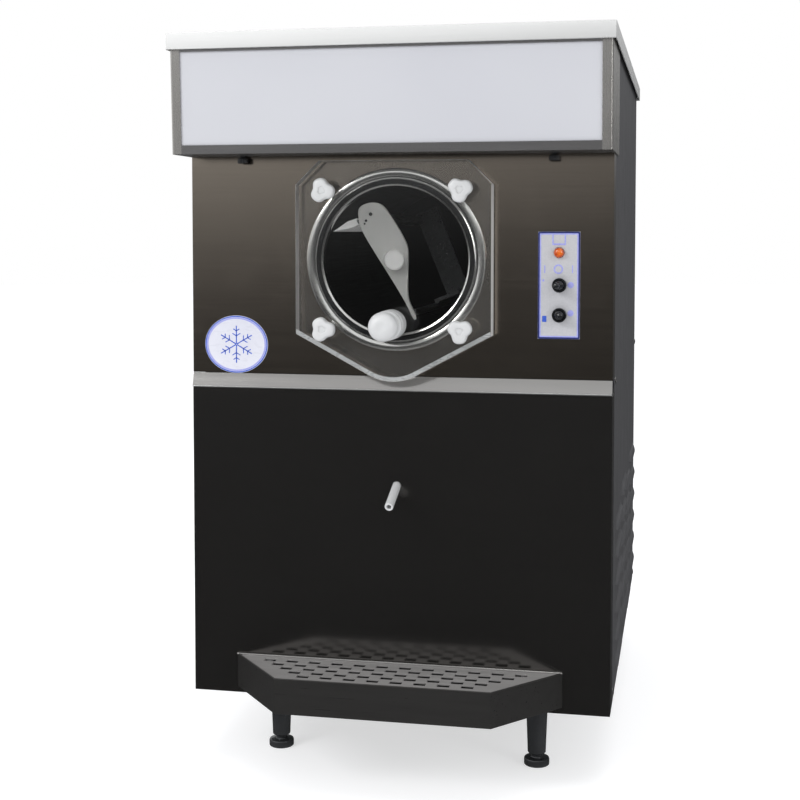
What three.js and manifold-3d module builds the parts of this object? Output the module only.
// Countertop frozen-dessert freezer: one horizontal freezing cylinder behind a clear face plate,
// a hopper under a lift-off lid, a lit hood above and a drip tray below.
// Millimetres. +X is the viewer's right, +Y the back, +Z up. While it is being built, y = 0 is the
// outer face of the upper front panel; the finished group stands on the middle of its own footprint.
import * as THREE from "three";
import { mergeVertices } from "three/addons/utils/BufferGeometryUtils.js";
import Module from "manifold-3d";

const wasm = await Module();
wasm.setup();

// ---- Driving dimensions -------------------------------------------------------------------
const CABINET_WIDTH = 450;
const CABINET_DEPTH = 604;
const LEG_HEIGHT = 76.4; // floor to the underside of the cabinet
const LOWER_HEIGHT = 332.9; // underside of the cabinet to the middle trim
const TRIM_HEIGHT = 15.7;
const UPPER_HEIGHT = 231.9; // middle trim to the underside of the hood
const HOOD_HEIGHT = 106.7; // underside of the hood to the lid's skirt
const LID_SKIRT = 17.5;
const SHEET = 1.2; // sheet metal of the panels
const PLATE = 2; // heavier sheet of the base pan and the shelf
const GAP = 0.3; // between pieces that touch
const SMALL_ROUND = 16; // facets of a small round piece
const LARGE_ROUND = 48; // facets of a large round piece
const CORNER_STEPS = 2; // facets of a hopper corner

const LOWER_STEP = 2; // the lower front panel stands this far ahead of the upper one
const PANEL_RETURN = 38; // front panels wrap round onto the sides
const TRIM_REACH = 4;
const SHELF_FLANGE = 20;
const SHELF_BELOW_FOAM = 29.3;
const PAN_FLANGE = 14;

const HOOD_REACH = 56.5; // hood front ahead of the panel, at its underside
const HOOD_LEAN = 5.5; // further reach of the hood front at its top
const HOOD_WRAP = 70; // hood sides lap back over the cabinet sides
const HOOD_SIDE_BORDER = 10.5;
const HOOD_LOWER_BORDER = 9.1;
const HOOD_UPPER_BORDER = 18;
const LENS_THICKNESS = 3;
const LID_SIDE_OVERHANG = 4.7;
const LID_REAR_OVERHANG = 3;
const LID_FRONT_CLEARANCE = 1.2;

const LOUVRE = { length: 110, height: 9, pitchY: 122, pitchZ: 30.5, columns: 4, rows: 6 };
const LOUVRE_FIRST_Y = 95; // front end of the first column of side louvres
const LOUVRE_BASE = 21; // lowest slot's middle above the cabinet's underside
const REAR_VENT = { length: 120, height: 8, pitchX: 140, pitchZ: 24, columns: 2, rows: 9 };
const REAR_VENT_BASE = 40;

const CYLINDER_RADIUS = 76.2; // inside radius of the six inch freezing cylinder
const CYLINDER_WALL = 2;
const CYLINDER_LENGTH = 310;
const FLANGE_WIDTH = 19.5;
const FLANGE_THICKNESS = 3;
const REAR_WALL = 4;
const JACKET_THICKNESS = 5.4;
const FOAM_THICKNESS = 21;
const GASKET = { width: 5, thickness: 1.4 };

const STUD_RADIUS = 4;
const STUD_CLEARANCE = 0.5;
const STUD_FROM_FLANGE = 6.1; // middle of a stud outside the cylinder's flange
const PLATE_THICKNESS = 19;
const PLATE_MARGIN = 31; // clear plate beyond the middles of its studs
const PLATE_CHAMFER = 25;
const PLATE_SHOULDER = 5.5; // straight side below the lower studs
const PLATE_SLOPE = 28.3; // degrees
const PLATE_NOSE_RADIUS = 52;
const PLATE_BELOW_HOOD = 6.4;
const KNOB = { middle: 10.5, lobe: 2.9, thickness: 13, boreDepth: 10, lobes: 3 };
const KNOB_TURNS = { upper_left: -12, upper_right: 22, lower_left: -1, lower_right: 28 };

const VALVE_DROP = 66; // spigot below the cylinder's middle
const VALVE = { radius: 15.5, length: 29, tail: 12, bore: 9.3, spout: 5.5, spoutFromTip: 12 };
const PLUNGER = { radius: 9, insertion: 20, knobRadius: 15, knobLength: 26 };

const DASHER_TILT = 22; // degrees, towards the viewer's left
const DASHER_BAR_THICKNESS = 4;
const DASHER_KNOB_RADIUS = 10.5;
const DASHER_KNOB_LENGTH = 9;
const SHAFT_RADIUS = 10;
const SHAFT_REACH = 44; // beyond the cylinder's rear wall
const SPIDER_THICKNESS = 5;
const SEAL_CLEARANCE = 0.4;
const SEAL_RADIUS = 13.7;
const BLADE_TIP_CLEARANCE = 1.5;

const BRACKET_PLATE = 4;
const GEARBOX = { width: 90, length: 84, below: 53, above: 52 };
const MOTOR = { radius: 50, length: 140 };

const HOPPER = { margin: 24, front: 14, length: 370, wall: 1.5, corner: 20, aboveFoam: 4.5 };
const HOPPER_RIM_REAR = 16;
const INLET = { radius: 12, bore: 10, y: 110 };

const CONTROL = { width: 43, height: 110, thickness: 1, fromSide: 55.2, aboveTrim: 42 };
const LAMP = { radius: 5.3, z: 88.5, reach: 6, depth: 24 };
const SWITCH_HEIGHTS = { lower: 24.6, upper: 55.2 };
const SWITCH = { x: 0.8, bushing: 6, collar: 7.4, collarLength: 6.6, ball: 5, depth: 26, width: 26 };
const LEVER = { reach: 12.5, root: 4, tip: 3.1, tilt: 12 };
const BOX = { width: 97, length: 106, height: 150, aboveShelf: 37 };

const COMPRESSOR = { x: -100, y: 250, radius: 80, height: 178, footLength: 190, footWidth: 120 };
const STUB = { radius: 6, top: 192, spread: 30 };
const LINE_RADIUS = 5;
const SUCTION = { x: -40, y: 250, bottom: 112 };
const CONDENSER = { width: 300, height: 258, thickness: 40, fromRear: 7.5, fins: 12, finDepth: 12 };
const SHROUD_LENGTH = 33;
const FAN = { radius: 95, hub: 22, width: 16, blades: 4, shaft: 4, tipClearance: 5 };
const FAN_MOTOR = { radius: 40, length: 62 };

const DRAIN = { radius: 4.5, bore: 2, slope: 20.5, belowFoam: 19.2, reach: 41, length: 306 };
const TRAY = { rearHalf: 176, frontHalf: 111.9, reach: 80.2, top: 43, bottom: 6.6, wall: 1.5 };
const HOOK = { x: 90, halfWidth: 8, belowTop: 13.2, tongue: 5.5, lift: 6.5 };
const GRID = { thickness: 1.5, belowTop: 0.4, pitchX: 24.5, pitchY: 12, slotX: 12.6, slotY: 8.4 };
const GRID_ROWS = 5;
const GRID_FIRST_ROW = 14.6; // middle of the rear row ahead of the tray's rear wall
const GRID_SIDE_MARGIN = 7;

const LEG_PLACE = { x: 143.7, front: 54.8, fromRear: 59 };
const LEG = { topRadius: 12.5, bottomRadius: 9.85, bottom: 13, stud: 5, studAbove: 3 };
const FOOT = { radius: 13.75, height: 8.5, stem: 5, stemTop: 38 };
const GLAND = { x: -160, z: 44, radius: 11, flange: 15, flangeThickness: 2.5, inner: 9, bore: 5 };
const FIXTURE = { halfLength: 190, socket: 12, front: 31, depth: 22, base: 16, height: 42 };
const TUBE = { radius: 8, fromFloor: 31 };

// ---- Derived places -----------------------------------------------------------------------
const halfWidth = CABINET_WIDTH / 2;
const insideHalf = halfWidth - SHEET - GAP;
const rearInside = CABINET_DEPTH - SHEET - GAP;
const bottomZ = LEG_HEIGHT;
const panTop = bottomZ + PLATE;
const trimZ = bottomZ + LOWER_HEIGHT;
const trimTop = trimZ + TRIM_HEIGHT;
const hoodZ = trimTop + UPPER_HEIGHT;
const lidZ = hoodZ + HOOD_HEIGHT;
const topZ = lidZ + LID_SKIRT;
const rimTop = topZ - SHEET - GAP;
const panelTop = rimTop - SHEET - GAP;

const flangeRadius = CYLINDER_RADIUS + FLANGE_WIDTH;
const tubeRadius = CYLINDER_RADIUS + CYLINDER_WALL;
const jacketRadius = tubeRadius + GAP + JACKET_THICKNESS;
const foamRadius = jacketRadius + FOAM_THICKNESS;
const studOffset = (flangeRadius + STUD_FROM_FLANGE) * Math.SQRT1_2;
const plateHalf = studOffset + PLATE_MARGIN;
const cylinderZ = hoodZ - PLATE_BELOW_HOOD - plateHalf;
const flangeFront = -GAP - FLANGE_THICKNESS;
const plateBack = flangeFront - GASKET.thickness - 2 * GAP;
const plateFront = plateBack - PLATE_THICKNESS;
const valveZ = cylinderZ - VALVE_DROP;
const valveTip = plateFront - GAP - VALVE.length;
const hopperZ = cylinderZ + foamRadius + HOPPER.aboveFoam;
const foamBottom = cylinderZ - foamRadius;
const shelfTop = foamBottom - SHELF_BELOW_FOAM;
const shelfZ = shelfTop - PLATE;

const dasherBarBack = plateBack + 2.3 + DASHER_BAR_THICKNESS;
const spiderRear = CYLINDER_LENGTH - REAR_WALL - 6;
const bracketY = CYLINDER_LENGTH + GAP;
const gearboxY = bracketY + BRACKET_PLATE + GAP;
const motorY = gearboxY + GEARBOX.length + GAP;
const fanX = 0;
const condenserRear = rearInside - CONDENSER.fromRear;
const condenserFront = condenserRear - CONDENSER.thickness;
const shroudRear = condenserFront - GAP;
const shroudFront = shroudRear - SHROUD_LENGTH;
const condenserTop = panTop + GAP + CONDENSER.height;
const shroudBottom = panTop + GAP + LEG.studAbove + 1;
const fanZ = (shroudBottom + condenserTop) / 2;
const fanRear = shroudFront - 4;
const fanMotorRear = fanRear - FAN.width - 6;

const lowerFront = -LOWER_STEP;
const trayRear = lowerFront - GAP;
const trayTop = bottomZ + TRAY.top;
const trayFloor = bottomZ + TRAY.bottom;
const controlX = halfWidth - CONTROL.fromSide;
const controlZ = trimTop + CONTROL.aboveTrim;
const lidFront = -(HOOD_REACH + HOOD_LEAN + LID_FRONT_CLEARANCE + SHEET);
const lidRear = CABINET_DEPTH + LID_REAR_OVERHANG;

// ---- Shape helpers ------------------------------------------------------------------------
const radians = (degrees) => (degrees * Math.PI) / 180;

function toSolid(geometry) {
  const bare = geometry.index ? geometry.toNonIndexed() : geometry.clone();
  bare.deleteAttribute("normal");
  bare.deleteAttribute("uv");
  const merged = mergeVertices(bare, 1e-4);
  return new wasm.Manifold(
    new wasm.Mesh({
      numProp: 3,
      vertProperties: merged.attributes.position.array,
      triVerts: new Uint32Array(merged.index.array),
    }),
  );
}

// A box from its [low, high] span along each axis.
function block([x0, x1], [y0, y1], [z0, z1]) {
  const geometry = new THREE.BoxGeometry(x1 - x0, y1 - y0, z1 - z0);
  geometry.translate((x0 + x1) / 2, (y0 + y1) / 2, (z0 + z1) / 2);
  return toSolid(geometry);
}

// A round bar along Y from y0 to y1, around (x, z).
function barY(radius, [y0, y1], x, z, sides = SMALL_ROUND) {
  const geometry = new THREE.CylinderGeometry(radius, radius, y1 - y0, sides);
  geometry.translate(x, (y0 + y1) / 2, z);
  return toSolid(geometry);
}

// A round bar along Z from z0 to z1, around (x, y).
function barZ(radius, [z0, z1], x, y, sides = SMALL_ROUND) {
  const geometry = new THREE.CylinderGeometry(radius, radius, z1 - z0, sides);
  geometry.rotateX(Math.PI / 2);
  geometry.translate(x, y, (z0 + z1) / 2);
  return toSolid(geometry);
}

// A round bar along X, around (y, z).
function barX(radius, [x0, x1], y, z, sides = SMALL_ROUND) {
  const geometry = new THREE.CylinderGeometry(radius, radius, x1 - x0, sides);
  geometry.rotateZ(Math.PI / 2);
  geometry.translate((x0 + x1) / 2, y, z);
  return toSolid(geometry);
}

// A body of revolution about an upright axis, from [radius, height] pairs that run upwards.
function turned(profile, x, y, sides = SMALL_ROUND) {
  const geometry = new THREE.LatheGeometry(profile.map(([r, h]) => new THREE.Vector2(r, h)), sides);
  geometry.rotateX(Math.PI / 2);
  geometry.translate(x, y, 0);
  return toSolid(geometry);
}

// An outline pushed from low to high along an axis. Outlines hold [x, y] for Z, [x, z] for Y
// and [y, z] for X.
function prism(outline, axis, [low, high], curveSegments = 12) {
  const points = () => outline.map(([a, b]) => new THREE.Vector2(a, b));
  const shape = outline instanceof THREE.Shape ? outline : new THREE.Shape(points());
  const options = { depth: high - low, bevelEnabled: false, curveSegments };
  const geometry = new THREE.ExtrudeGeometry(shape, options);
  const basis = new THREE.Matrix4();
  if (axis === "Y") {
    basis.set(1, 0, 0, 0, 0, 0, -1, high, 0, 1, 0, 0, 0, 0, 0, 1);
  } else if (axis === "X") {
    basis.set(0, 0, 1, low, 1, 0, 0, 0, 0, 1, 0, 0, 0, 0, 0, 1);
  } else {
    basis.makeTranslation(0, 0, low);
  }
  geometry.applyMatrix4(basis);
  return toSolid(geometry);
}

function ball(radius, x, y, z) {
  const geometry = new THREE.SphereGeometry(radius, SMALL_ROUND, 10);
  geometry.translate(x, y, z);
  return toSolid(geometry);
}

// A pipe of round section along a smooth curve through hand-chosen points.
function pipe(points, radius, steps) {
  const path = new THREE.CatmullRomCurve3(points.map((p) => new THREE.Vector3(...p)));
  const section = new THREE.Shape().absarc(0, 0, radius, 0, 2 * Math.PI);
  const options = { extrudePath: path, steps, bevelEnabled: false, curveSegments: 4 };
  return toSolid(new THREE.ExtrudeGeometry(section, options));
}

const joinAll = (solids) => solids.reduce((sum, next) => sum.add(next));
const cutAll = (solid, cuts) => cuts.reduce((rest, cut) => rest.subtract(cut), solid);
const bothSides = (make) => [make(-1), make(1)];

// ---- Materials ----------------------------------------------------------------------------
const finish = (color, roughness, metalness, extra = {}) =>
  new THREE.MeshStandardMaterial({ color, roughness, metalness, ...extra });

const finishes = {
  brightSteel: () => finish(0xc9c9c6, 0.32, 1),
  panelSteel: () => finish(0x5a544d, 0.28, 1),
  darkSteel: () => finish(0x2b2a29, 0.25, 1),
  whitePlastic: () => finish(0xf1f2f4, 0.4, 0),
  blackRubber: () => finish(0x16171a, 0.55, 0),
  blackPlastic: () => finish(0x1a1b1d, 0.3, 0),
  clear: () => finish(0xe8eef0, 0.05, 0, { transparent: true, opacity: 0.25 }),
  lens: () => finish(0xdee0e4, 0.35, 0),
  orange: () => finish(0xe8721c, 0.25, 0),
  label: () => finish(0xc6c7d6, 0.45, 0),
  castGrey: () => finish(0x6c7074, 0.6, 0.4),
  blackPaint: () => finish(0x202224, 0.5, 0.2),
  foam: () => finish(0x3a3c3e, 0.9, 0),
  copper: () => finish(0xb87848, 0.35, 1),
  aluminium: () => finish(0xb9bcbe, 0.45, 1),
};

// ---- Cabinet ------------------------------------------------------------------------------
const legPlaces = [
  ["front_left", -LEG_PLACE.x, LEG_PLACE.front],
  ["front_right", LEG_PLACE.x, LEG_PLACE.front],
  ["rear_left", -LEG_PLACE.x, CABINET_DEPTH - LEG_PLACE.fromRear],
  ["rear_right", LEG_PLACE.x, CABINET_DEPTH - LEG_PLACE.fromRear],
];

function basePan() {
  const frontY = lowerFront + SHEET + GAP;
  const plate = block([-insideHalf, insideHalf], [frontY, rearInside], [bottomZ, panTop]);
  const flanges = bothSides((side) => {
    const edge = [side * insideHalf, side * (insideHalf - SHEET)].sort((a, b) => a - b);
    return block(edge, [PANEL_RETURN + GAP, rearInside], [bottomZ, panTop + PAN_FLANGE]);
  });
  const holes = legPlaces.map(([, x, y]) => barZ(LEG.stud + GAP, [0, panTop + 1], x, y));
  return cutAll(joinAll([plate, ...flanges]), holes);
}

function midShelf() {
  const frontY = SHEET + GAP;
  const plate = block([-insideHalf, insideHalf], [frontY, rearInside], [shelfZ, shelfTop]);
  const flanges = bothSides((side) => {
    const edge = [side * insideHalf, side * (insideHalf - SHEET)].sort((a, b) => a - b);
    return block(edge, [frontY, rearInside], [shelfZ - SHELF_FLANGE, shelfZ + SHEET]);
  });
  const suctionHole = barZ(LINE_RADIUS * 2, [shelfZ - 1, shelfTop + 1], SUCTION.x, SUCTION.y);
  return cutAll(joinAll([plate, ...flanges]), [suctionHole, drainPassage()]);
}

// A front panel is a face with a return along each side of the cabinet.
function wrappedPanel(front, [z0, z1]) {
  const face = block([-halfWidth, halfWidth], [front, front + SHEET], [z0, z1]);
  const returns = bothSides((side) => {
    const edge = [side * halfWidth, side * (halfWidth - SHEET)].sort((a, b) => a - b);
    return block(edge, [front, PANEL_RETURN], [z0, z1]);
  });
  return joinAll([face, ...returns]);
}

const studPlaces = {
  upper_left: [-studOffset, cylinderZ + studOffset],
  upper_right: [studOffset, cylinderZ + studOffset],
  lower_left: [-studOffset, cylinderZ - studOffset],
  lower_right: [studOffset, cylinderZ - studOffset],
};

const studHoles = (span) =>
  Object.values(studPlaces).map(([x, z]) => barY(STUD_RADIUS + STUD_CLEARANCE, span, x, z));

function controlHoles(span) {
  const switches = Object.values(SWITCH_HEIGHTS).map((height) =>
    barY(SWITCH.bushing + GAP, span, controlX + SWITCH.x, controlZ + height),
  );
  return [barY(LAMP.radius + GAP, span, controlX, controlZ + LAMP.z), ...switches];
}

function upperFrontPanel() {
  const span = [-1, SHEET + 1];
  const mouth = barY(tubeRadius + 2 * GAP, span, 0, cylinderZ, LARGE_ROUND);
  const panel = wrappedPanel(0, [trimTop + GAP, panelTop]);
  return cutAll(panel, [mouth, ...studHoles(span), ...controlHoles(span)]);
}

function lowerFrontPanel() {
  const panel = wrappedPanel(lowerFront, [bottomZ, trimZ - GAP]);
  const slotZ = trayTop - HOOK.belowTop;
  const slots = bothSides((side) => {
    const middle = side * HOOK.x;
    const width = [middle - HOOK.halfWidth - 1, middle + HOOK.halfWidth + 1];
    return block(width, [lowerFront - 1, 1], [slotZ - GAP, slotZ + TRAY.wall + HOOK.lift + 1]);
  });
  return cutAll(panel, [...slots, drainPassage()]);
}

function midTrim() {
  const outline = [
    [SHEET, trimTop],
    [-GAP, trimTop],
    [-TRIM_REACH, trimZ + 2.6],
    [-TRIM_REACH, trimZ],
    [SHEET, trimZ],
  ];
  return prism(outline, "X", [-halfWidth, halfWidth]);
}

function sidePanel(side) {
  const skin = [side * halfWidth, side * (halfWidth - SHEET)].sort((a, b) => a - b);
  const panel = block(skin, [PANEL_RETURN + GAP, CABINET_DEPTH], [bottomZ, panelTop]);
  const slots = [];
  for (let column = 0; column < LOUVRE.columns; column += 1) {
    const y = LOUVRE_FIRST_Y + column * LOUVRE.pitchY;
    const stagger = column % 2 ? LOUVRE.pitchZ / 2 : 0;
    for (let row = 0; row < LOUVRE.rows; row += 1) {
      const z = bottomZ + LOUVRE_BASE + stagger + row * LOUVRE.pitchZ;
      const through = [skin[0] - 1, skin[1] + 1];
      slots.push(block(through, [y, y + LOUVRE.length], [z, z + LOUVRE.height]));
    }
  }
  return cutAll(panel, slots);
}

function rearPanel() {
  const panel = block([-insideHalf, insideHalf], [CABINET_DEPTH - SHEET, CABINET_DEPTH], [bottomZ, panelTop]);
  const through = [CABINET_DEPTH - SHEET - 1, CABINET_DEPTH + 1];
  const cuts = [barY(GLAND.radius + GAP, through, GLAND.x, bottomZ + GLAND.z)];
  for (let column = 0; column < REAR_VENT.columns; column += 1) {
    const x = (column - (REAR_VENT.columns - 1) / 2) * REAR_VENT.pitchX;
    for (let row = 0; row < REAR_VENT.rows; row += 1) {
      const z = bottomZ + REAR_VENT_BASE + row * REAR_VENT.pitchZ;
      const width = [x - REAR_VENT.length / 2, x + REAR_VENT.length / 2];
      cuts.push(block(width, through, [z, z + REAR_VENT.height]));
    }
  }
  return cutAll(panel, cuts);
}

// ---- Lid and hood -------------------------------------------------------------------------
function topLid() {
  const half = halfWidth + LID_SIDE_OVERHANG;
  const shell = block([-half, half], [lidFront, lidRear], [lidZ, topZ]);
  const inside = half - SHEET;
  const hollow = block([-inside, inside], [lidFront + SHEET, lidRear - SHEET], [lidZ - 1, topZ - SHEET]);
  return shell.subtract(hollow);
}

const hoodTop = rimTop - GAP;
const hoodFrontY = (z) => -HOOD_REACH - (HOOD_LEAN * (z - hoodZ)) / (hoodTop - hoodZ);

function hoodFrame() {
  const outerHalf = halfWidth + GAP + SHEET;
  const innerHalf = halfWidth + GAP;
  const beyond = HOOD_WRAP + 10;
  const outer = prism(
    [[hoodFrontY(hoodZ), hoodZ], [HOOD_WRAP, hoodZ], [HOOD_WRAP, hoodTop], [hoodFrontY(hoodTop), hoodTop]],
    "X",
    [-outerHalf, outerHalf],
  );
  const floor = hoodZ + SHEET;
  const above = hoodTop + 1;
  const cavity = prism(
    [
      [hoodFrontY(floor) + SHEET, floor],
      [beyond, floor],
      [beyond, above],
      [hoodFrontY(above) + SHEET, above],
    ],
    "X",
    [-innerHalf, innerHalf],
  );
  const behindPanel = block([-innerHalf, innerHalf], [-GAP, beyond], [hoodZ - 1, floor + 1]);
  const windowHalf = outerHalf - HOOD_SIDE_BORDER;
  const window = block(
    [-windowHalf, windowHalf],
    [-HOOD_REACH - 20, -HOOD_REACH + 15],
    [hoodZ + HOOD_LOWER_BORDER, hoodTop - HOOD_UPPER_BORDER],
  );
  return cutAll(outer, [cavity, behindPanel, window]);
}

function hoodLens() {
  const low = hoodZ + SHEET + GAP;
  const high = hoodTop - 1;
  const start = SHEET + GAP;
  const outline = [
    [hoodFrontY(low) + start, low],
    [hoodFrontY(low) + start + LENS_THICKNESS, low],
    [hoodFrontY(high) + start + LENS_THICKNESS, high],
    [hoodFrontY(high) + start, high],
  ];
  return prism(outline, "X", [-halfWidth, halfWidth]);
}

const fixtureFloor = hoodZ + SHEET + GAP;
const tubeY = -FIXTURE.front + FIXTURE.depth / 2;

function lampFixture() {
  const depth = [-FIXTURE.front, -FIXTURE.front + FIXTURE.depth];
  const half = FIXTURE.halfLength;
  const base = block([-half, half], depth, [fixtureFloor, fixtureFloor + FIXTURE.base]);
  const sockets = bothSides((side) => {
    const width = [side * half, side * (half - FIXTURE.socket)].sort((a, b) => a - b);
    return block(width, depth, [fixtureFloor, fixtureFloor + FIXTURE.height]);
  });
  return joinAll([base, ...sockets]);
}

function hoodLampTube() {
  const half = FIXTURE.halfLength - FIXTURE.socket - GAP;
  return barX(TUBE.radius, [-half, half], tubeY, fixtureFloor + TUBE.fromFloor);
}

// ---- Freezing cylinder --------------------------------------------------------------------
function freezingCylinder() {
  const tube = barY(tubeRadius, [flangeFront, CYLINDER_LENGTH], 0, cylinderZ, LARGE_ROUND);
  const flange = barY(flangeRadius, [flangeFront, -GAP], 0, cylinderZ, LARGE_ROUND);
  const chamber = [flangeFront - 1, CYLINDER_LENGTH - REAR_WALL];
  const hollow = barY(CYLINDER_RADIUS, chamber, 0, cylinderZ, LARGE_ROUND);
  const sealSeat = barY(SEAL_RADIUS + GAP, [0, CYLINDER_LENGTH + 1], 0, cylinderZ, SMALL_ROUND);
  const inlet = barZ(INLET.bore, [cylinderZ, cylinderZ + tubeRadius + 1], 0, INLET.y);
  return cutAll(tube.add(flange), [hollow, sealSeat, inlet]);
}

function sleeve(inner, outer, span) {
  const body = barY(outer, span, 0, cylinderZ, LARGE_ROUND);
  const bore = barY(inner, [span[0] - 1, span[1] + 1], 0, cylinderZ, LARGE_ROUND);
  const inlet = barZ(INLET.radius + GAP, [cylinderZ, cylinderZ + outer + 1], 0, INLET.y);
  return cutAll(body, [bore, inlet]);
}

const suctionTop = cylinderZ - jacketRadius + 12;

function evaporatorJacket() {
  const jacket = sleeve(tubeRadius + GAP, jacketRadius, [20, CYLINDER_LENGTH - 20]);
  const port = barZ(STUB.radius, [cylinderZ - SUCTION.bottom, suctionTop], SUCTION.x, SUCTION.y);
  const inside = barY(tubeRadius + GAP, [10, CYLINDER_LENGTH], 0, cylinderZ, LARGE_ROUND);
  return jacket.add(port).subtract(inside);
}

function cylinderInsulation() {
  const span = [SHEET + GAP + BRACKET_PLATE + GAP, CYLINDER_LENGTH - 10];
  const foam = sleeve(jacketRadius + GAP, foamRadius, span);
  const port = barZ(STUB.radius + GAP, [cylinderZ - foamRadius - 1, suctionTop], SUCTION.x, SUCTION.y);
  return foam.subtract(port);
}

function studPlate() {
  const half = studOffset + STUD_RADIUS + 8;
  const depth = [SHEET + GAP, SHEET + GAP + BRACKET_PLATE];
  const plate = block([-half, half], depth, [cylinderZ - half, cylinderZ + half]);
  const hole = barY(tubeRadius + 2 * GAP, [0, depth[1] + 1], 0, cylinderZ, LARGE_ROUND);
  const reach = plateFront - GAP - KNOB.boreDepth + 1;
  const studs = Object.values(studPlaces).map(([x, z]) => barY(STUD_RADIUS, [reach, depth[0] + 1], x, z));
  return joinAll([plate.subtract(hole), ...studs]);
}

function facePlateOutline() {
  const slope = radians(PLATE_SLOPE);
  const shoulder = studOffset + PLATE_SHOULDER;
  const tangentX = PLATE_NOSE_RADIUS * Math.sin(slope);
  const tangentZ = -shoulder - (plateHalf - tangentX) * Math.tan(slope);
  const noseZ = tangentZ + PLATE_NOSE_RADIUS * Math.cos(slope);
  const outline = new THREE.Shape();
  outline.moveTo(plateHalf - PLATE_CHAMFER, cylinderZ + plateHalf);
  outline.lineTo(PLATE_CHAMFER - plateHalf, cylinderZ + plateHalf);
  outline.lineTo(-plateHalf, cylinderZ + plateHalf - PLATE_CHAMFER);
  outline.lineTo(-plateHalf, cylinderZ - shoulder);
  const start = -Math.PI / 2 - slope;
  outline.absarc(0, cylinderZ + noseZ, PLATE_NOSE_RADIUS, start, start + 2 * slope, false);
  outline.lineTo(plateHalf, cylinderZ - shoulder);
  outline.lineTo(plateHalf, cylinderZ + plateHalf - PLATE_CHAMFER);
  outline.closePath();
  return outline;
}

function facePlate() {
  const through = [plateFront - 1, plateBack + 1];
  const recess = [plateBack - DASHER_KNOB_LENGTH - 1, plateBack + 1];
  return cutAll(prism(facePlateOutline(), "Y", [plateFront, plateBack]), [
    barY(VALVE.tail + GAP, through, 0, valveZ, 24),
    barY(DASHER_KNOB_RADIUS + 2 * GAP, recess, 0, cylinderZ, 24),
    ...studHoles(through),
  ]);
}

function faceGasket() {
  const inner = tubeRadius + 1;
  const span = [plateBack + GAP, flangeFront - GAP];
  const ring = barY(inner + GASKET.width, span, 0, cylinderZ, LARGE_ROUND);
  return ring.subtract(barY(inner, [span[0] - 1, span[1] + 1], 0, cylinderZ, LARGE_ROUND));
}

// Three-lobed hand nut that clamps the clear plate on its stud.
function starKnob(name) {
  const [x, z] = studPlaces[name];
  const outline = [];
  const steps = 24;
  for (let i = 0; i < steps; i += 1) {
    const angle = (2 * Math.PI * i) / steps;
    const radius = KNOB.middle + KNOB.lobe * Math.cos(KNOB.lobes * (angle - radians(KNOB_TURNS[name])));
    outline.push([x + radius * Math.cos(angle), z + radius * Math.sin(angle)]);
  }
  const back = plateFront - GAP;
  const body = prism(outline, "Y", [back - KNOB.thickness, back]);
  return body.subtract(barY(STUD_RADIUS + STUD_CLEARANCE, [back - KNOB.boreDepth, back + 1], x, z));
}

// ---- Dispensing valve ---------------------------------------------------------------------
function valveBody() {
  const head = barY(VALVE.radius, [valveTip, plateFront - GAP], 0, valveZ, 24);
  const tail = barY(VALVE.tail, [plateFront - 2, plateBack], 0, valveZ, 24);
  const spoutY = valveTip + VALVE.spoutFromTip;
  const spout = barZ(VALVE.spout, [valveZ - VALVE.radius - 1, valveZ], 0, spoutY);
  const bore = barY(VALVE.bore, [valveTip - 1, plateBack + 1], 0, valveZ, 24);
  return cutAll(head.add(tail), [bore, spout]);
}

function valvePlunger() {
  const seat = valveTip - GAP;
  const stem = barY(PLUNGER.radius, [seat - 1, valveTip + PLUNGER.insertion], 0, valveZ, 24);
  const crown = seat - PLUNGER.knobLength;
  const knob = barY(PLUNGER.knobRadius, [crown + 2, seat], 0, valveZ, 24);
  const face = barY(PLUNGER.knobRadius - 2, [crown, crown + 3], 0, valveZ, 24);
  return joinAll([stem, knob, face]);
}

// ---- Dasher: shapes are laid out upright about the cylinder's axis, then tilted -----------
function tilted(solid) {
  return solid.translate([0, 0, -cylinderZ]).rotate([0, -DASHER_TILT, 0]).translate([0, 0, cylinderZ]);
}

const CARRIER = { rodX: -12, rodZ: 52, rodRadius: 5, inner: -23.5, thickness: 4 };
const TAIL_ROD = { x: -4, z: -58, radius: 3.5 };
const BLADE = { inner: 24, heel: 34, thickness: 7, middle: 53 };

function dasherFrontBar() {
  const outline = [
    [-15.7, 65.9],
    [-21.6, 39.5],
    [-9.9, -24.6],
    [-6, -66],
    [-1, -66],
    [-0.7, -36.2],
    [18.2, 7.6],
    [15, 35],
    [8.2, 60.8],
    [-3, 65.9],
  ].map(([x, z]) => [x, z + cylinderZ]);
  const span = [dasherBarBack - DASHER_BAR_THICKNESS, dasherBarBack];
  const pinHole = barY(2, [span[0] - 1, span[1] + 1], -6.3, cylinderZ + 54, 12);
  return tilted(prism(outline, "Y", span).subtract(pinHole));
}

function dasherKnob() {
  const rear = dasherBarBack - DASHER_BAR_THICKNESS - GAP;
  return barY(DASHER_KNOB_RADIUS, [rear - DASHER_KNOB_LENGTH, rear], 0, cylinderZ, 24);
}

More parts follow.
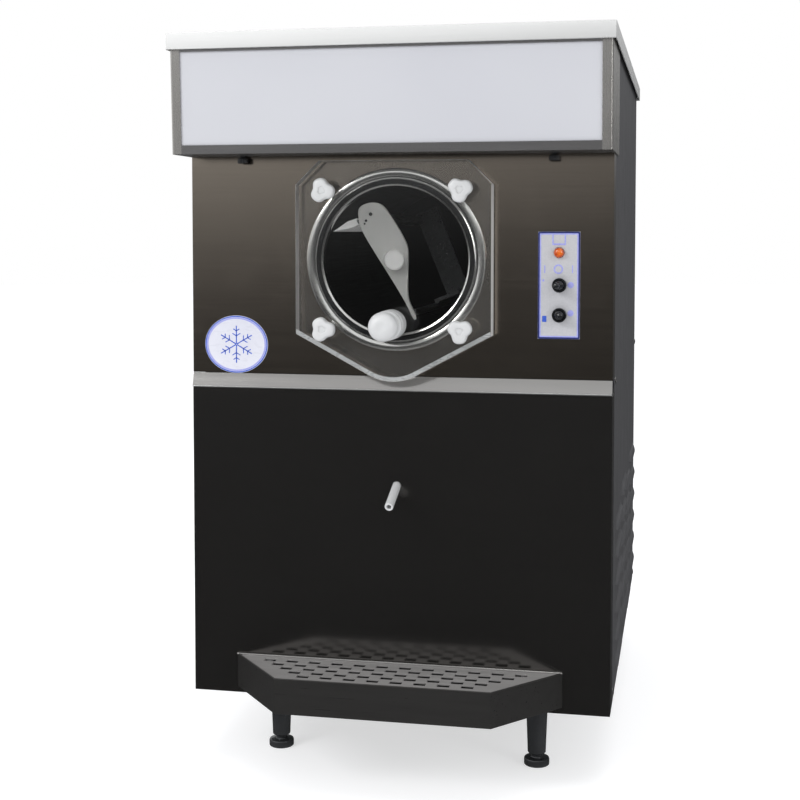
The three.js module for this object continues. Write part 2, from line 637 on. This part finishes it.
function dasherFrame() {
  const rods = [dasherBarBack + GAP, spiderRear];
  const spiderFront = spiderRear - SPIDER_THICKNESS;
  const strip = [cylinderZ + CARRIER.rodZ - CARRIER.thickness / 2, cylinderZ + CARRIER.rodZ + CARRIER.thickness / 2];
  const lowStrip = [cylinderZ - BLADE.middle - 1, cylinderZ - BLADE.middle + 3];
  const spider = block([-14, 14], [spiderFront, spiderRear], [cylinderZ - 62, cylinderZ + 60]);
  const shaft = barY(SHAFT_RADIUS, [spiderFront, CYLINDER_LENGTH + SHAFT_REACH], 0, cylinderZ);
  return tilted(
    joinAll([
      barY(CARRIER.rodRadius, rods, CARRIER.rodX, cylinderZ + CARRIER.rodZ),
      block([CARRIER.inner, CARRIER.rodX], rods, strip),
      barY(TAIL_ROD.radius, rods, TAIL_ROD.x, cylinderZ + TAIL_ROD.z),
      block([TAIL_ROD.x, -CARRIER.inner], [rods[1] / 2 + 5, spiderRear], lowStrip),
      block([TAIL_ROD.x - 2, TAIL_ROD.x + 2], [rods[1] / 2 + 5, spiderRear], [lowStrip[0] - 5, lowStrip[1]]),
      spider,
      shaft,
    ]),
  );
}

// Scraper: its edge runs just inside the cylinder wall.
function scraperBlade(side, span) {
  const edge = CYLINDER_RADIUS - BLADE_TIP_CLEARANCE;
  const tipX = Math.sqrt(edge * edge - BLADE.middle * BLADE.middle);
  const outline = [
    [BLADE.inner, BLADE.middle - BLADE.thickness / 2],
    [BLADE.heel, BLADE.middle - BLADE.thickness / 2],
    [tipX, BLADE.middle],
    [BLADE.heel, BLADE.middle + BLADE.thickness / 2 + 0.5],
    [BLADE.inner, BLADE.middle + BLADE.thickness / 2],
  ].map(([x, z]) => [side * x, cylinderZ - side * z]);
  return tilted(prism(outline, "Y", span));
}

function rearSeal() {
  const span = [CYLINDER_LENGTH - REAR_WALL - 1, CYLINDER_LENGTH];
  const ring = barY(SEAL_RADIUS, span, 0, cylinderZ);
  return ring.subtract(barY(SHAFT_RADIUS + SEAL_CLEARANCE, [span[0] - 1, span[1] + 1], 0, cylinderZ));
}

// ---- Drive --------------------------------------------------------------------------------
function driveBracket() {
  const half = GEARBOX.width / 2 + 20;
  const platform = cylinderZ - GEARBOX.below - GAP;
  const rear = gearboxY + GEARBOX.length + 20;
  const foot = shelfTop + GAP;
  const wall = block([-half, half], [bracketY, bracketY + BRACKET_PLATE], [foot, cylinderZ + GEARBOX.above]);
  const table = block([-half, half], [bracketY + 1, rear], [platform - BRACKET_PLATE, platform]);
  const leg = block([-half, half], [rear - BRACKET_PLATE, rear], [foot, platform - 1]);
  const shaftHole = barY(SHAFT_RADIUS + 2, [bracketY - 1, bracketY + BRACKET_PLATE + 1], 0, cylinderZ);
  return joinAll([wall.subtract(shaftHole), table, leg]);
}

function gearbox() {
  const half = GEARBOX.width / 2;
  const height = [cylinderZ - GEARBOX.below, cylinderZ + GEARBOX.above];
  const casting = block([-half, half], [gearboxY, gearboxY + GEARBOX.length], height);
  const bore = [gearboxY - 1, CYLINDER_LENGTH + SHAFT_REACH + 2];
  return casting.subtract(barY(SHAFT_RADIUS + SEAL_CLEARANCE, bore, 0, cylinderZ));
}

function beaterMotor() {
  const barrel = barY(MOTOR.radius, [motorY, motorY + MOTOR.length], 0, cylinderZ, 32);
  const rear = motorY + MOTOR.length;
  const cap = barY(MOTOR.radius - 12, [rear - 1, rear + 8], 0, cylinderZ, 32);
  return barrel.add(cap);
}

// ---- Hopper -------------------------------------------------------------------------------
function roundedRectangle([x0, x1], [y0, y1], corner) {
  const shape = new THREE.Shape();
  const quarter = Math.PI / 2;
  shape.moveTo(x1, y0 + corner);
  shape.absarc(x1 - corner, y1 - corner, corner, 0, quarter, false);
  shape.absarc(x0 + corner, y1 - corner, corner, quarter, 2 * quarter, false);
  shape.absarc(x0 + corner, y0 + corner, corner, 2 * quarter, 3 * quarter, false);
  shape.absarc(x1 - corner, y0 + corner, corner, 3 * quarter, 4 * quarter, false);
  return shape;
}

function hopper() {
  const half = halfWidth - HOPPER.margin;
  const rear = HOPPER.front + HOPPER.length;
  const { wall, corner } = HOPPER;
  const outer = roundedRectangle([-half, half], [HOPPER.front, rear], corner);
  const tub = prism(outer, "Z", [hopperZ, rimTop], CORNER_STEPS);
  const rim = block([-halfWidth + GAP, halfWidth - GAP], [0, rear + HOPPER_RIM_REAR], [rimTop - SHEET, rimTop]);
  const inner = roundedRectangle([wall - half, half - wall], [HOPPER.front + wall, rear - wall], corner - wall);
  const hollow = prism(inner, "Z", [hopperZ + wall, rimTop + 1], CORNER_STEPS);
  const spout = barZ(INLET.radius, [cylinderZ + tubeRadius + GAP, hopperZ + 1], 0, INLET.y);
  const bore = barZ(INLET.bore, [cylinderZ, hopperZ + wall + 1], 0, INLET.y);
  return cutAll(joinAll([tub, rim, spout]), [hollow, bore]);
}

// ---- Refrigeration ------------------------------------------------------------------------
const stubTop = panTop + GAP + STUB.top;

function compressor() {
  const base = panTop + GAP;
  const { x, y, radius, height } = COMPRESSOR;
  const shell = turned(
    [
      [0, base + 3],
      [radius * 0.8, base + 3],
      [radius, base + 22],
      [radius, base + height * 0.62],
      [radius * 0.92, base + height * 0.8],
      [radius * 0.6, base + height * 0.95],
      [0, base + height],
    ],
    x,
    y,
    24,
  );
  const footX = [x - COMPRESSOR.footLength / 2, x + COMPRESSOR.footLength / 2];
  const footY = [y - COMPRESSOR.footWidth / 2, y + COMPRESSOR.footWidth / 2];
  const foot = block(footX, footY, [base, base + 4]);
  const stubs = bothSides((side) => barZ(STUB.radius, [base + height / 2, stubTop], x + side * STUB.spread, y, 12));
  return joinAll([shell, foot, ...stubs]);
}

function dischargeLine() {
  const startX = COMPRESSOR.x + STUB.spread;
  const endX = COMPRESSOR.x - 20;
  const endY = (condenserFront + condenserRear) / 2;
  const ridge = shelfZ - 42;
  return pipe(
    [
      [startX, COMPRESSOR.y, stubTop + GAP],
      [startX, COMPRESSOR.y, stubTop + 30],
      [startX, COMPRESSOR.y + 40, ridge],
      [endX, endY - 90, ridge],
      [endX, endY, (ridge + condenserTop) / 2],
      [endX, endY, condenserTop + GAP],
    ],
    LINE_RADIUS,
    24,
  );
}

function suctionLine() {
  const startX = COMPRESSOR.x - STUB.spread;
  const top = cylinderZ - SUCTION.bottom - GAP;
  return pipe(
    [
      [startX, COMPRESSOR.y, stubTop + GAP],
      [startX, COMPRESSOR.y, stubTop + 35],
      [(startX + SUCTION.x) / 2, SUCTION.y, stubTop + 65],
      [SUCTION.x, SUCTION.y, shelfZ - 30],
      [SUCTION.x, SUCTION.y, top],
    ],
    LINE_RADIUS,
    20,
  );
}

function condenser() {
  const half = CONDENSER.width / 2;
  const core = block([-half, half], [condenserFront, condenserRear], [panTop + GAP, condenserTop]);
  const pitch = CONDENSER.height / CONDENSER.fins;
  const grooves = [];
  for (let i = 0; i < CONDENSER.fins; i += 1) {
    const z = panTop + GAP + (i + 0.3) * pitch;
    const depth = [condenserRear - CONDENSER.finDepth, condenserRear + 1];
    grooves.push(block([-half + 8, half - 8], depth, [z, z + pitch * 0.4]));
  }
  return cutAll(core, grooves);
}

function fanShroud() {
  const half = CONDENSER.width / 2;
  const box = block([-half, half], [shroudFront, shroudRear], [shroudBottom, condenserTop]);
  const plenum = block(
    [-half + SHEET, half - SHEET],
    [shroudFront + SHEET, shroudRear + 1],
    [shroudBottom + SHEET, condenserTop - SHEET],
  );
  const mouth = barY(FAN.radius + FAN.tipClearance, [shroudFront - 1, shroudFront + 3], fanX, fanZ, 32);
  return cutAll(box, [plenum, mouth]);
}

function fanBlade() {
  const span = [fanRear - FAN.width, fanRear];
  const hub = barY(FAN.hub, span, fanX, fanZ, 24);
  const blades = [];
  for (let i = 0; i < FAN.blades; i += 1) {
    const geometry = new THREE.BoxGeometry(FAN.radius - FAN.hub + 8, 2, 40);
    geometry.rotateX(radians(18));
    geometry.translate((FAN.radius + FAN.hub - 12) / 2, (span[0] + span[1]) / 2, 0);
    geometry.rotateY((2 * Math.PI * i) / FAN.blades);
    geometry.translate(fanX, 0, fanZ);
    blades.push(toSolid(geometry));
  }
  const bore = barY(FAN.shaft + SEAL_CLEARANCE, [span[0] - 1, span[1] - 3], fanX, fanZ);
  return joinAll([hub, ...blades]).subtract(bore);
}

function fanMotor() {
  const barrel = barY(FAN_MOTOR.radius, [fanMotorRear - FAN_MOTOR.length, fanMotorRear], fanX, fanZ, 24);
  const shaft = barY(FAN.shaft, [fanMotorRear - 1, fanRear - 4], fanX, fanZ);
  const armRadius = FAN.radius + FAN.tipClearance + 14;
  const arms = [];
  [30, 150, 270].forEach((angle) => {
    const spoke = new THREE.BoxGeometry(armRadius - FAN_MOTOR.radius + 14, 3, 10);
    spoke.translate((armRadius + FAN_MOTOR.radius - 4) / 2, fanMotorRear - 6, 0);
    const post = new THREE.BoxGeometry(5, shroudFront - GAP - fanMotorRear + 7.5, 10);
    post.translate(armRadius + 2.5, (shroudFront - GAP + fanMotorRear - 7.5) / 2, 0);
    [spoke, post].forEach((geometry) => {
      geometry.rotateY(-radians(angle));
      geometry.translate(fanX, 0, fanZ);
      arms.push(toSolid(geometry));
    });
  });
  return joinAll([barrel, shaft, ...arms]);
}

// ---- Controls -----------------------------------------------------------------------------
function controlLabelPlate() {
  const span = [-GAP - CONTROL.thickness, -GAP];
  const width = [controlX - CONTROL.width / 2, controlX + CONTROL.width / 2];
  const plate = block(width, span, [controlZ, controlZ + CONTROL.height]);
  return cutAll(plate, controlHoles([span[0] - 1, span[1] + 1]));
}

function pilotLamp() {
  const x = controlX;
  const z = controlZ + LAMP.z;
  const front = -GAP - CONTROL.thickness;
  const body = barY(LAMP.radius, [front - LAMP.reach + 2, LAMP.depth], x, z, 12);
  const crown = barY(LAMP.radius - 1.6, [front - LAMP.reach, front - LAMP.reach + 3], x, z, 12);
  return body.add(crown);
}

const collarFront = -2 * GAP - CONTROL.thickness - SWITCH.collarLength;

function switchBlock() {
  const x = controlX + SWITCH.x;
  const { lower, upper } = SWITCH_HEIGHTS;
  const back = SHEET + GAP;
  const width = [x - SWITCH.width / 2, x + SWITCH.width / 2];
  const body = block(width, [back, back + SWITCH.depth], [controlZ + lower - 12, controlZ + upper + 12]);
  const parts = [lower, upper].map((height) => {
    const z = controlZ + height;
    const bushing = barY(SWITCH.bushing, [collarFront, back + 1], x, z);
    const collar = barY(SWITCH.collar, [collarFront, collarFront + SWITCH.collarLength], x, z, 24);
    return bushing.add(collar).subtract(ball(SWITCH.ball + 2 * GAP, x, collarFront, z));
  });
  return joinAll([body, ...parts]);
}

// A lever's ball turns in its bushing; at rest it leans to one side.
function toggleLever(height, lean) {
  const x = controlX + SWITCH.x;
  const z = controlZ + height;
  const stalk = new THREE.CylinderGeometry(LEVER.root, LEVER.tip, LEVER.reach, 12);
  stalk.translate(0, -LEVER.reach / 2, 0);
  stalk.rotateZ(radians(lean));
  stalk.translate(x, collarFront, z);
  return ball(SWITCH.ball, x, collarFront, z).add(toSolid(stalk));
}

function electricalBox() {
  const width = [insideHalf - BOX.width, insideHalf];
  const depth = [SHEET + GAP, SHEET + GAP + BOX.length];
  const height = [shelfTop + BOX.aboveShelf, shelfTop + BOX.aboveShelf + BOX.height];
  const hollow = block(
    [width[0] + SHEET, width[1] - SHEET],
    [depth[0] - 1, depth[1] - SHEET],
    [height[0] + SHEET, height[1] - SHEET],
  );
  return block(width, depth, height).subtract(hollow);
}

function cordGland() {
  const z = bottomZ + GLAND.z;
  const outside = CABINET_DEPTH + GAP;
  const flange = barY(GLAND.flange, [outside, outside + GLAND.flangeThickness], GLAND.x, z, 24);
  const neck = barY(GLAND.radius, [CABINET_DEPTH - GLAND.inner, outside + 1], GLAND.x, z);
  const bore = [CABINET_DEPTH - GLAND.inner - 1, outside + GLAND.flangeThickness + 1];
  return flange.add(neck).subtract(barY(GLAND.bore, bore, GLAND.x, z));
}

// ---- Drain, tray, legs --------------------------------------------------------------------
// The seal drain slopes down to the front; along runs from y = 0 on its centre line.
function drainRod(radius, [from, to]) {
  const slope = radians(DRAIN.slope);
  const geometry = new THREE.CylinderGeometry(radius, radius, (to - from) / Math.cos(slope), SMALL_ROUND);
  geometry.rotateX(slope);
  const middle = (from + to) / 2;
  const upperEnd = foamBottom - DRAIN.belowFoam;
  geometry.translate(0, middle, upperEnd - (DRAIN.length - middle) * Math.tan(slope));
  return toSolid(geometry);
}

function drainPassage() {
  return drainRod(DRAIN.radius + 2 * GAP, [-DRAIN.reach, DRAIN.length]);
}

function sealDrainTube() {
  const tube = drainRod(DRAIN.radius, [-DRAIN.reach, DRAIN.length]);
  return tube.subtract(drainRod(DRAIN.bore, [-DRAIN.reach - 5, DRAIN.length + 5]));
}

// The tray's plan: half a hexagon, moved in by an inset on every side.
function trayPlan(inset) {
  const run = TRAY.rearHalf - TRAY.frontHalf;
  const rise = TRAY.reach + trayRear;
  const skew = (inset * Math.hypot(run, rise)) / rise;
  const rearY = trayRear - inset;
  const frontY = -TRAY.reach + inset;
  const halfAt = (y) => TRAY.frontHalf + (run * (y + TRAY.reach)) / rise - skew;
  return { rearY, frontY, halfAt };
}

function trayPrism(inset, span) {
  const { rearY, frontY, halfAt } = trayPlan(inset);
  const outline = [
    [-halfAt(frontY), frontY],
    [halfAt(frontY), frontY],
    [halfAt(rearY), rearY],
    [-halfAt(rearY), rearY],
  ];
  return prism(outline, "Z", span);
}

function dripTray() {
  const shell = trayPrism(0, [trayFloor, trayTop]);
  const hollow = trayPrism(TRAY.wall, [trayFloor + TRAY.wall, trayTop + 1]);
  const hookZ = trayTop - HOOK.belowTop;
  const tongueFront = lowerFront + SHEET + GAP;
  const hooks = bothSides((side) => {
    const width = [side * HOOK.x - HOOK.halfWidth, side * HOOK.x + HOOK.halfWidth];
    const bridge = block(width, [trayRear - TRAY.wall, tongueFront + TRAY.wall], [hookZ, hookZ + TRAY.wall]);
    const tongue = block(width, [tongueFront, tongueFront + TRAY.wall], [hookZ - HOOK.tongue, hookZ + TRAY.wall]);
    return bridge.add(tongue);
  });
  return joinAll([shell.subtract(hollow), ...hooks]);
}

function dripGrid() {
  const inset = TRAY.wall + GAP;
  const top = trayTop - GRID.belowTop;
  const plate = trayPrism(inset, [top - GRID.thickness, top]);
  const { halfAt } = trayPlan(inset);
  const slots = [];
  for (let row = 0; row < GRID_ROWS; row += 1) {
    const y = trayRear - GRID_FIRST_ROW - row * GRID.pitchY;
    const shift = row % 2 ? 0 : GRID.pitchX / 2;
    const limit = halfAt(y - GRID.slotY / 2) - GRID_SIDE_MARGIN - GRID.slotX / 2;
    const count = Math.ceil(limit / GRID.pitchX);
    for (let i = -count; i <= count; i += 1) {
      const x = i * GRID.pitchX + shift;
      if (Math.abs(x) <= limit) {
        const width = [x - GRID.slotX / 2, x + GRID.slotX / 2];
        const depth = [y - GRID.slotY / 2, y + GRID.slotY / 2];
        slots.push(block(width, depth, [top - GRID.thickness - 1, top + 1]));
      }
    }
  }
  const feetZ = [trayFloor + TRAY.wall + GAP, top - GRID.thickness / 2];
  const feet = [
    [trayRear - 8, 140],
    [-TRAY.reach + 8, 95],
  ].flatMap(([y, x]) => bothSides((side) => block([side * x - 6, side * x + 6], [y - 2, y + 2], feetZ)));
  return joinAll([cutAll(plate, slots), ...feet]);
}

function leg([, x, y]) {
  const top = bottomZ - GAP;
  const body = turned([[0, LEG.bottom], [LEG.bottomRadius, LEG.bottom], [LEG.topRadius, top], [0, top]], x, y, 24);
  const stud = barZ(LEG.stud, [top - 1, panTop + LEG.studAbove], x, y);
  const bore = barZ(FOOT.stem + GAP, [LEG.bottom - 1, FOOT.stemTop + 2], x, y);
  return body.add(stud).subtract(bore);
}

function levellingFoot([, x, y]) {
  const { radius, height, stem, stemTop } = FOOT;
  const profile = [
    [0, 0],
    [radius - 0.8, 0],
    [radius, 1.2],
    [radius, height - 1.5],
    [radius - 1.6, height],
    [stem, height],
    [stem, stemTop],
    [0, stemTop],
  ];
  return turned(profile, x, y, 24);
}

// ---- Assembly -----------------------------------------------------------------------------
const cabinet = new THREE.Group();

function place(name, solid, material) {
  const { vertProperties, triVerts, numProp } = solid.getMesh();
  const geometry = new THREE.BufferGeometry();
  const positions = new THREE.BufferAttribute(new Float32Array(vertProperties), numProp);
  geometry.setAttribute("position", positions);
  geometry.setIndex(new THREE.BufferAttribute(new Uint32Array(triVerts), 1));
  geometry.computeVertexNormals();
  const mesh = new THREE.Mesh(geometry, material);
  mesh.name = name;
  cabinet.add(mesh);
}

place("base_pan", basePan(), finishes.darkSteel());
place("mid_shelf", midShelf(), finishes.brightSteel());
place("side_panel_left", sidePanel(-1), finishes.panelSteel());
place("side_panel_right", sidePanel(1), finishes.panelSteel());
place("rear_panel", rearPanel(), finishes.panelSteel());
place("upper_front_panel", upperFrontPanel(), finishes.panelSteel());
place("lower_front_panel", lowerFrontPanel(), finishes.darkSteel());
place("mid_trim", midTrim(), finishes.brightSteel());
place("top_lid", topLid(), finishes.brightSteel());
place("hood_frame", hoodFrame(), finishes.brightSteel());
place("hood_lens", hoodLens(), finishes.lens());
place("lamp_fixture", lampFixture(), finishes.castGrey());
place("hood_lamp_tube", hoodLampTube(), finishes.lens());

place("freezing_cylinder", freezingCylinder(), finishes.brightSteel());
place("evaporator_jacket", evaporatorJacket(), finishes.copper());
place("cylinder_insulation", cylinderInsulation(), finishes.foam());
place("stud_plate", studPlate(), finishes.brightSteel());
place("face_plate", facePlate(), finishes.clear());
place("face_gasket", faceGasket(), finishes.blackRubber());
Object.keys(studPlaces).forEach((name) => {
  place("star_knob_" + name, starKnob(name), finishes.whitePlastic());
});
place("valve_body", valveBody(), finishes.whitePlastic());
place("valve_plunger", valvePlunger(), finishes.whitePlastic());

const bladeSplit = CYLINDER_LENGTH / 2;
place("dasher_frame", dasherFrame(), finishes.brightSteel());
place("dasher_front_bar", dasherFrontBar(), finishes.aluminium());
place("dasher_knob", dasherKnob(), finishes.whitePlastic());
place("scraper_blade_front", scraperBlade(-1, [6, bladeSplit - 3]), finishes.whitePlastic());
place("scraper_blade_rear", scraperBlade(1, [bladeSplit + 5, spiderRear - 8]), finishes.whitePlastic());
place("rear_seal", rearSeal(), finishes.blackRubber());
place("drive_bracket", driveBracket(), finishes.brightSteel());
place("gearbox", gearbox(), finishes.castGrey());
place("beater_motor", beaterMotor(), finishes.blackPaint());
place("hopper", hopper(), finishes.brightSteel());

place("compressor", compressor(), finishes.blackPaint());
place("discharge_line", dischargeLine(), finishes.copper());
place("suction_line", suctionLine(), finishes.copper());
place("condenser", condenser(), finishes.aluminium());
place("fan_shroud", fanShroud(), finishes.blackPaint());
place("fan_motor", fanMotor(), finishes.castGrey());
place("fan_blade", fanBlade(), finishes.aluminium());

place("control_label_plate", controlLabelPlate(), finishes.label());
place("pilot_lamp", pilotLamp(), finishes.orange());
place("switch_block", switchBlock(), finishes.blackPlastic());
place("toggle_lever_upper", toggleLever(SWITCH_HEIGHTS.upper, -LEVER.tilt), finishes.blackRubber());
place("toggle_lever_lower", toggleLever(SWITCH_HEIGHTS.lower, LEVER.tilt), finishes.blackRubber());
place("electrical_box", electricalBox(), finishes.castGrey());
place("cord_gland", cordGland(), finishes.blackPlastic());

place("seal_drain_tube", sealDrainTube(), finishes.whitePlastic());
place("drip_tray", dripTray(), finishes.darkSteel());
place("drip_grid", dripGrid(), finishes.brightSteel());
legPlaces.forEach((spot) => {
  place("leg_" + spot[0], leg(spot), finishes.blackPlastic());
  place("levelling_foot_" + spot[0], levellingFoot(spot), finishes.blackPlastic());
});

// The finished group's origin is on the floor, under the middle of the machine and its tray.
cabinet.position.y = (TRAY.reach - lidRear) / 2;

export default cabinet;
